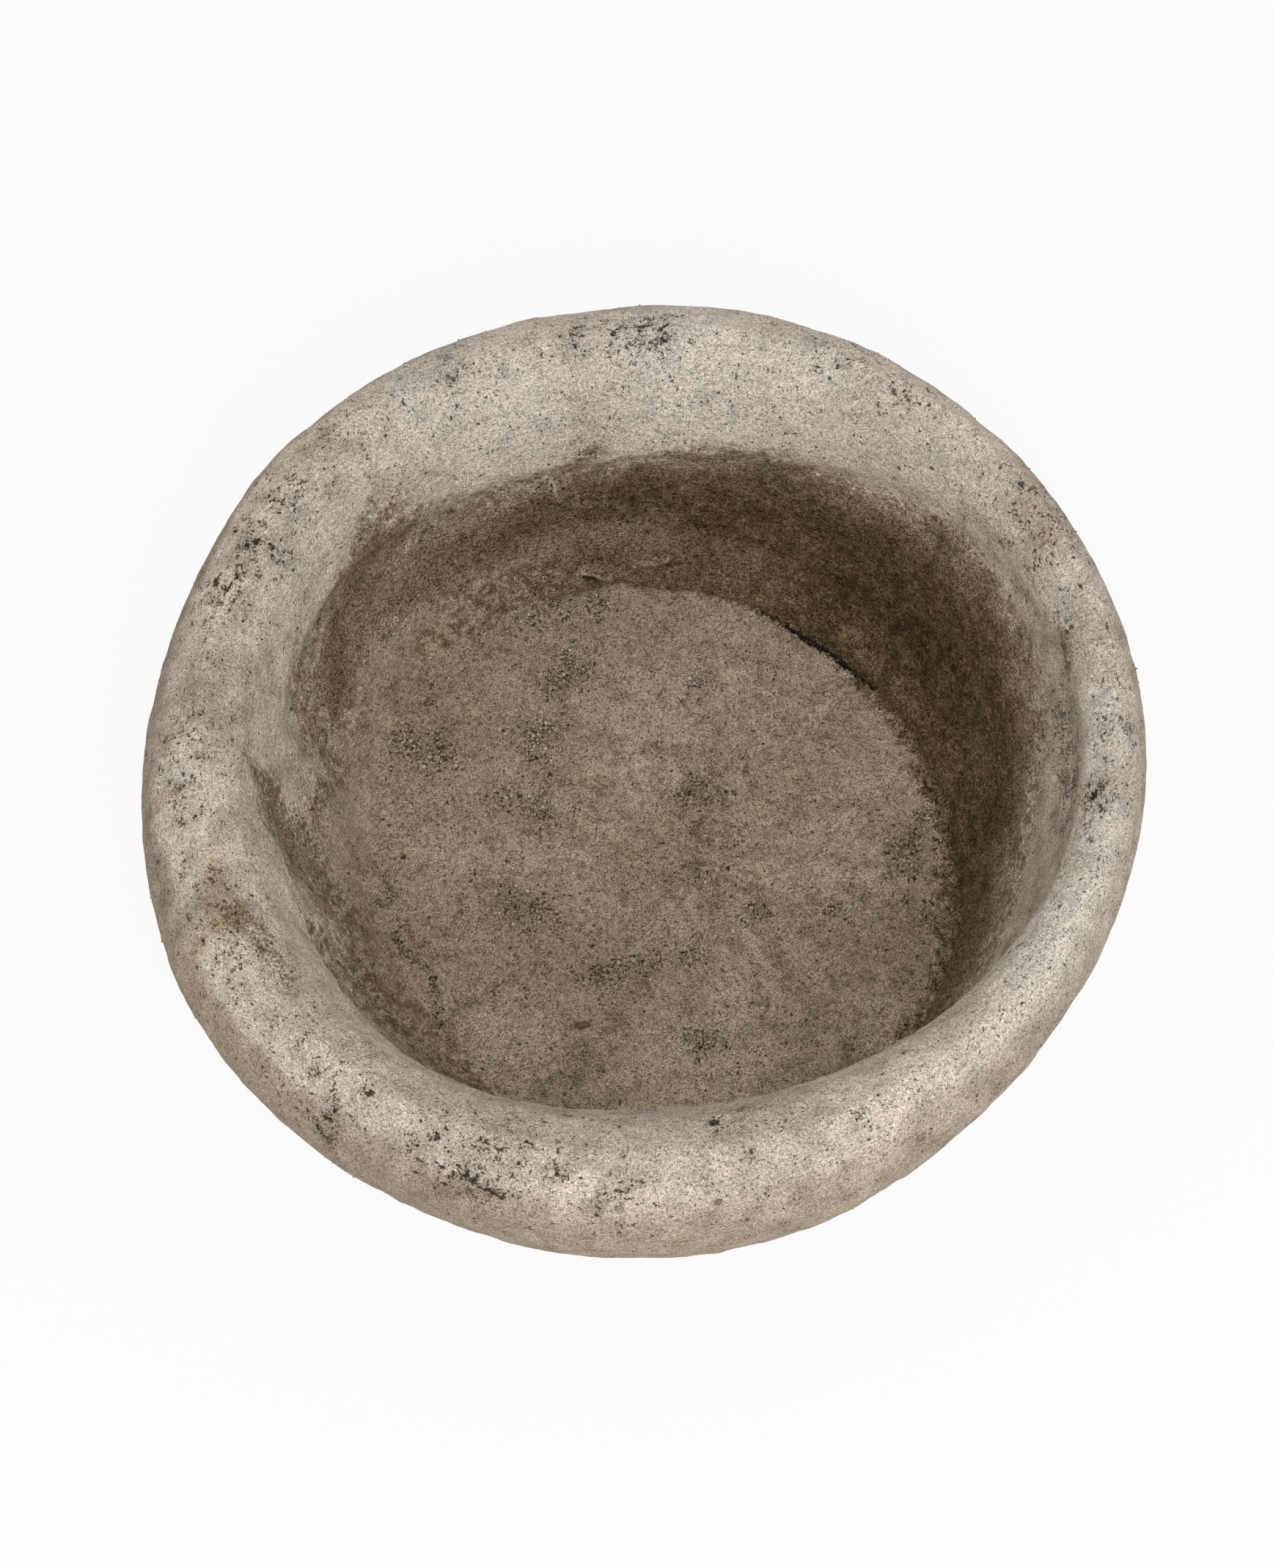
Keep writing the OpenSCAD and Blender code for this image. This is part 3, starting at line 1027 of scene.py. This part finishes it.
# %% Weathered material
# Some colours paint light and shade as well: the pale lime and mortar paint light, the earth brown paints
# shade on the outer side, the hole dirt the shade in holes and lines, and the film tint the shade on the
# walls.
warm_stone, cool_stone, pale_lime = paint(236, 221, 202), paint(212, 198, 180), paint(244, 235, 222)
brown_mortar, grey_mortar, pale_mortar_and_light = paint(168, 149, 124), paint(194, 176, 153), paint(232, 213, 186)
film_tint = paint(134, 121, 99)
earth_brown, ochre_stain, grey_wear = paint(164, 144, 120), paint(174, 142, 98), paint(156, 143, 123)
hole_dirt_and_shade, pale_sand = paint(50, 41, 29), paint(228, 221, 208)


def weathered(name, pull):
    """The recipe for both pieces: where the mesh's number mortar is 1, the base is mortar."""
    material, output, start = new_material(name)
    place = start.node("ShaderNodeTexCoord", output="Object")
    strokes = stroke_place(place, pull)
    wall, mortar, film, rays, coarse, lime, earth, grey, ochre, dug, lines = (
        number(start, name) for name in ("wall", "mortar", "film", "rays", "coarse", "lime", "earth",
                                         "grey", "ochre", "dug", "lines"))

    # Patterns, from the broadest to the finest.
    broad, patchy = noise(place, 70 * mm), noise(place, 16 * mm, 5)
    blotch, fine = noise(place, 8 * mm, 4, 0.6), noise(place, 3.5 * mm, 3)
    grain, sandy = noise(place, 0.8 * mm, 2, 0.7), cells(place, 0.8 * mm)[1]
    lumps, hair = noise(strokes, 2.8 * mm, 3, 0.6), noise(strokes, 1.2 * mm, 3, 0.65)
    crumbs = noise(place, 1.7 * mm, 3, 0.7)
    trowelled = mortar * (1.0 - wall)
    rough = start.math("MAXIMUM", 1.0 - trowelled * 0.45, coarse)
    edge = film.fade(0.0, 0.4)

    # Sand and lime, then the stains on them, then the strokes and grain, which also paint relief shade.
    stone_base = blend(warm_stone, cool_stone, (broad + patchy).fade(0.8, 1.2))
    # The trowel's rays make the mortar paler on the petals' ridges: tone and painted shade.
    swept = broad * 0.5 + patchy * 0.7 + rays * 0.4
    mortar_base = blend(brown_mortar, grey_mortar, swept.fade(0.35, 0.85))
    colour = stone_base.tint(mortar_base, mortar)
    # Pale lime, which also paints light on the rim and the near bed.
    limy_and_lit = (lime + patchy * 1.4 - 0.95).fade(0.0, 0.9) * 0.7
    colour = colour.tint(blend(pale_lime, pale_mortar_and_light, mortar), limy_and_lit)
    # Brown earth, which also paints shade on the outer side.
    earthy = earth + patchy * 0.9 + lumps * 0.5 - 0.7
    colour = colour.tint(earth_brown, earthy.fade(0.0, 1.0) * 0.8)
    colour = colour.tint(grey_wear, (grey + patchy + lumps - 1.0).fade(0.1, 0.9) * 0.75)
    rusty = ochre + fine * 1.6 + lumps * 1.2 - 1.6
    colour = colour.tint(ochre_stain, rusty.fade(0.0, 0.9) * 0.8)
    # Strokes and grain are darker where the bump is low and lighter where it is high: painted relief shade.
    strokes_and_relief_shade = hair - 0.5 + (lumps - 0.5) * 0.5 + (fine - 0.5) * 0.6
    grain_and_relief_shade = ((sandy - 0.5) * 0.7 + (grain - 0.5) * 2.2) * (trowelled * 0.35 + 1.0)
    blotched = (blotch - 0.5) * 0.75 + ((patchy - 0.5) * 0.6 + (fine - 0.5) * 0.6 + rays * 0.13) * trowelled
    colour = colour.shade(1.0 + strokes_and_relief_shade * rough + grain_and_relief_shade * (1 + edge * 0.8) + blotched)

    # The dark film and painted shade, ragged where they are thin.
    speckled = hair * 0.5 + crumbs * 0.2 + lumps * 0.3
    dashes = speckled.fade(0.53, 0.57) * 0.8 - speckled.fade(0.46, 0.42) * 0.25
    clouded = (0.5 - blotch) * 0.9 + (0.5 - patchy) * 0.9
    fringe = film.fade(0.02, 0.2) * film.fade(0.5, 0.25) * ((0.5 - blotch) * 1.8 + (0.5 - fine) * 1.2)
    thickness = film * (1.03 + clouded + dashes) + fringe
    colour = colour.under(film_tint, start.math("MAXIMUM", thickness, 0.0))

    # Dirt and painted shade in whatever is hollow, and pale sand on top.
    flecks = (hair * 0.5 + grain * 0.3 + (patchy - 0.5) * 0.3 + coarse * 0.05).fade(0.44, 0.5)
    colour = colour.tint(hole_dirt_and_shade, flecks * (1 - trowelled * 0.7) * (wall * 0.15 + 0.4))
    cluster = (coarse + (blotch - 0.5) * 3.2 + (fine - 0.5) * 1.8 - 0.42).fade(0.0, 0.5)
    holes = (crumbs + cluster * 0.08).fade(0.58, 0.605) * cluster.fade(0.0, 0.2)
    uneven = torn(place, 2.5 * mm, 5 * mm)
    pores = specks(uneven, 4.5 * mm, patchy - 0.34, 1.0 * mm, 0.25 * mm)
    small_pores = specks(uneven, 1.9 * mm, (fine - 0.5) * 0.6 + 0.12 + rough * 0.12, 0.6 * mm, 0.2 * mm)
    holes = start.math("MAXIMUM", holes, start.math("MAXIMUM", pores, small_pores))
    pinholes = noise(place, 1.3 * mm, 2, 0.7) + (patchy - 0.5) * 0.3 + coarse * 0.05
    pitted = (dug + (crumbs - 0.5) * 1.2).fade(0.5, 0.7)
    # Cracks are dark; the lines under folds and along scratches are painted shade.
    cracks_and_shadow_lines = (lines + (crumbs - 0.5) * 1.4).fade(0.35, 0.6)
    for dirty in (pinholes.fade(0.62, 0.67) * 0.4, holes * 0.85, pitted * 0.8, cracks_and_shadow_lines * 0.85):
        colour = colour.tint(hole_dirt_and_shade, dirty)
    sand = specks(place, 2.2 * mm, 0.14 + coarse * 0.35, 0.55 * mm, 0.2 * mm)
    colour = colour.tint(pale_sand, sand * (0.5 - trowelled * 0.3))

    # The same marks as fine relief.
    height = (hair - 0.5) * 1.2 * rough + (lumps - 0.5) * (1.2 + wall * 0.6) * rough
    height = height + (grain - 0.5) * 1.5 + (sandy - 0.5) * 0.35 + (fine - 0.5) * 1.7 * rough
    height = height + sand * 0.35 - holes - flecks * 0.3
    return finished(material, output, colour, grain * 0.2 + 0.8, height, 1.0, mm, 0.25)


def mortar_share(piece):
    """1 on the bed, fading out up the wall where the mason smeared the mortar over the stone."""
    points = points_of(piece)
    smeared = points[:, 2] + 9 * mm * cloud(points, 35 * mm, 3, 61)
    inside = smooth_step(reach_of(points), 240 * mm, 220 * mm)
    return hollow_side(points, normals_of(piece)) * inside * smooth_step(smeared, 110 * mm, 66 * mm)


for piece in (bowl, bed):
    remember(piece, mortar=mortar_share(piece))
bowl.data.materials.append(weathered("weathered_stone", stroke_pull))
bed.data.materials.append(weathered("trowelled_mortar", 0.0))
print("materials have", len(bowl.data.materials[0].node_tree.nodes), "nodes each")

# %% [markdown]
# Rain washes the finest sand away, so coarser grains and a few pebbles stand proud of the stone
# or lie loose on it. One lump is modelled: an icosphere with its corners pushed about. Its
# copies, each with its own size, stretch and turn, share one mesh, because thousands of objects
# would be slow. Each copy carries a random tone, and takes on the film and painted shade of the
# place it lies on.


# %% Lumps
def model_lump(subdivisions, unevenness, seed):
    """The points and faces of one uneven lump, about 1 in radius."""
    deselect_all()
    bpy.ops.mesh.primitive_ico_sphere_add(subdivisions=subdivisions, radius=1)
    lump = bpy.context.object
    bpy.ops.object.mode_set(mode="EDIT")
    bpy.ops.mesh.select_all(action="SELECT")
    bpy.ops.transform.vertex_random(offset=unevenness, seed=seed)
    bpy.ops.object.mode_set(mode="OBJECT")
    points, faces = points_of(lump), np.array([face.vertices[:] for face in lump.data.polygons])
    bpy.data.objects.remove(lump)
    return points, faces


def lay_copies(name, lump, places, normals, radii, films, seed):
    """One piece made of copies of a lump, half bedded in the surface at each place."""
    points, faces = lump
    dice = np.random.default_rng(seed)
    turns = np.linalg.qr(dice.normal(size=(len(places), 3, 3)))[0]
    turns *= np.sign(np.linalg.det(turns))[:, None, None]
    stretched = points * dice.uniform(0.65, 1.1, (len(places), 1, 3)) * radii[:, None, None] * mm
    middles = places + normals * radii[:, None] * 0.25 * mm
    all_points = stretched @ turns + middles[:, None]
    all_faces = faces + len(points) * np.arange(len(places))[:, None, None]
    mesh = bpy.data.meshes.new(name)
    mesh.from_pydata(all_points.reshape(-1, 3).tolist(), [], all_faces.reshape(-1, 3).tolist())
    piece = bpy.data.objects.new(name, mesh)
    scene.collection.objects.link(piece)
    remember(piece, tone=np.repeat(dice.random(len(places)), len(points)),
             film=np.repeat(films, len(points)))
    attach(piece, "root")
    return piece


grain_lump = model_lump(subdivisions=1, unevenness=0.2, seed=4)
pebble_lump = model_lump(subdivisions=2, unevenness=0.12, seed=5)
print("one grain has", len(grain_lump[1]), "faces, and a pebble", len(pebble_lump[1]))


# %% Grains and pebbles
def sprinkle(name, piece, chances, count, smallest, largest, seed):
    """Loose grains on a piece, more of them where the chances are high, most of them small."""
    picked = scatter(chances, count, seed)
    radii = smallest + (largest - smallest) * np.random.default_rng(seed).random(count) ** 2.5
    return lay_copies(name, grain_lump, points_of(piece)[picked], normals_of(piece)[picked],
                      radii, remembered(piece, "film")[picked], seed)


pebbles = [
    (893, 1183, 1.5), (1000, 1270, 1.4), (1210, 1151, 1.7), (1193, 1255, 1.5), (802, 1226, 1.3),
    (941, 1183, 1.4), (1442, 1063, 3.2), (752, 1600, 2.4), (843, 1650, 2.6), (980, 1640, 2.2),
    (1130, 1370, 1.4), (700, 1330, 1.3), (560, 1010, 1.8), (610, 985, 1.6), (578, 1045, 1.5)]
sculpted = surface_tree(bowl, bed)
bare_bed = (normals_of(bed)[:, 2] > 0.5) * (inside_edge(points_of(bed)) > 0)
grain_chances = bare_bed * (0.03 + remembered(bed, "coarse") ** 1.5)
bed_grains = sprinkle("bed_grains", bed, grain_chances, count=2400, smallest=0.4, largest=1.5, seed=71)
rim_chances = (points_of(bowl)[:, 2] > 0.13) * (0.3 + 0.3 * remembered(bowl, "coarse"))
bowl_grains = sprinkle("bowl_grains", bowl, rim_chances, count=1400, smallest=0.3, largest=0.9, seed=72)
resting = [sculpted.find_nearest(seen(x, y))[:2] for x, y, _ in pebbles]
pebble_places, pebble_normals = np.array(resting).transpose(1, 0, 2)
pebble_radii = np.array(pebbles)[:, 2]
loose_pebbles = lay_copies("pebbles", pebble_lump, pebble_places, pebble_normals, pebble_radii,
                           films=np.zeros(len(pebbles)), seed=73)
print("triangles in grains:", count_triangles(bed_grains) + count_triangles(bowl_grains))


# %% Grains' material
dull_grain = paint(112, 97, 78)


def loose_stone(name):
    """Each lump has one tone: brown, grey, pale or ochre, with a little unevenness of its own."""
    material, output, start = new_material(name)
    place = start.node("ShaderNodeTexCoord", output="Object")
    tone, speckle = number(start, "tone"), noise(place, 0.8 * mm, 2, 0.6)
    colour = blend(dull_grain, pale_sand, tone.fade(0.05, 1.3))
    colour = colour.tint(ochre_stain, tone.fade(0.9, 0.96) * 0.7).shade(speckle * 1.2 + 0.4)
    # Grains take the film's darkening: growth and painted shade.
    colour = colour.under(film_tint, number(start, "film") * 0.8)
    return finished(material, output, colour, speckle * 0.3 + 0.65, speckle, 0.6, 0.4 * mm)


grain_stone = loose_stone("loose_stone")
for piece, slot in ((bed_grains, "trowelled_mortar"), (bowl_grains, "weathered_stone"),
                    (loose_pebbles, "trowelled_mortar")):
    piece.data.materials.append(grain_stone)
print("grains take their tone from", len(grain_stone.node_tree.nodes), "nodes")

# %% [markdown]
# Two bits of litter make the bowl a thing that stood in a garden: a chip of bark on the mortar,
# and a dry root, thin as a thread, that clings to the right of the far wall.

# %% Bark chip
deselect_all()
chip_place, chip_normal = sculpted.find_nearest(seen(795, 1397))[:2]
bpy.ops.mesh.primitive_cube_add(size=1, location=chip_place + chip_normal * 0.9 * mm,
                                rotation=(radians(8), radians(-12), radians(35)))
chip = bpy.context.object
chip.name = chip.data.name = "bark_chip"
bpy.ops.object.mode_set(mode="EDIT")
bpy.ops.transform.resize(value=(7.5 * mm, 3.8 * mm, 1.6 * mm))
bpy.ops.mesh.subdivide(number_cuts=5)
bpy.ops.transform.vertex_random(offset=0.35 * mm, seed=6)
bpy.ops.object.mode_set(mode="OBJECT")
bpy.ops.object.transform_apply()
apply_modifier(chip, "SUBSURF", levels=1, render_levels=1)
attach(chip, "root")
print("chip lies at", [round(v / mm) for v in chip_place], "mm")

# %% Dry root
root_pixels = [(1192, 792), (1201, 812), (1208, 832), (1211, 850), (1208, 872), (1204, 892), (1218, 906)]
root_thickness = 0.35 * mm
root_line = bpy.data.curves.new("dry_root", "CURVE")
root_line.dimensions = "3D"
root_line.bevel_depth = root_thickness
root_line.bevel_resolution = 1
root_line.use_fill_caps = True
way = root_line.splines.new("NURBS")
way.points.add(len(root_pixels) - 1)
for knot, (x, y) in zip(way.points, root_pixels):
    place, normal = sculpted.find_nearest(seen(x, y))[:2]
    knot.co = (*(place + normal * root_thickness), 1)
way.use_endpoint_u = True
way.order_u = 3
root = bpy.data.objects.new("dry_root", root_line)
scene.collection.objects.link(root)
make_active(root)
bpy.ops.object.convert(target="MESH")
root = bpy.context.object
bpy.ops.object.shade_smooth()
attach(root, "root")
print("root has", len(root.data.polygons), "faces")


# %% Litter's material
def bark(name, dark, light):
    """Dry brown plant matter: fibres of two browns, with a rough surface."""
    material, output, start = new_material(name)
    place = start.node("ShaderNodeTexCoord", output="Object")
    fibres = noise(place.vector("MULTIPLY", place, (0.3, 1, 1)), 0.7 * mm, 3, 0.6)
    colour = blend(dark, light, fibres.fade(0.35, 0.65))
    return finished(material, output, colour, fibres * 0.3 + 0.6, fibres, 0.8, 0.5 * mm)


dry_bark = bark("dry_bark", paint(62, 48, 36), paint(118, 98, 76))
for piece, slot in ((chip, "trowelled_mortar"), (root, "weathered_stone")):
    piece.data.materials.append(dry_bark)
print("litter is dressed")
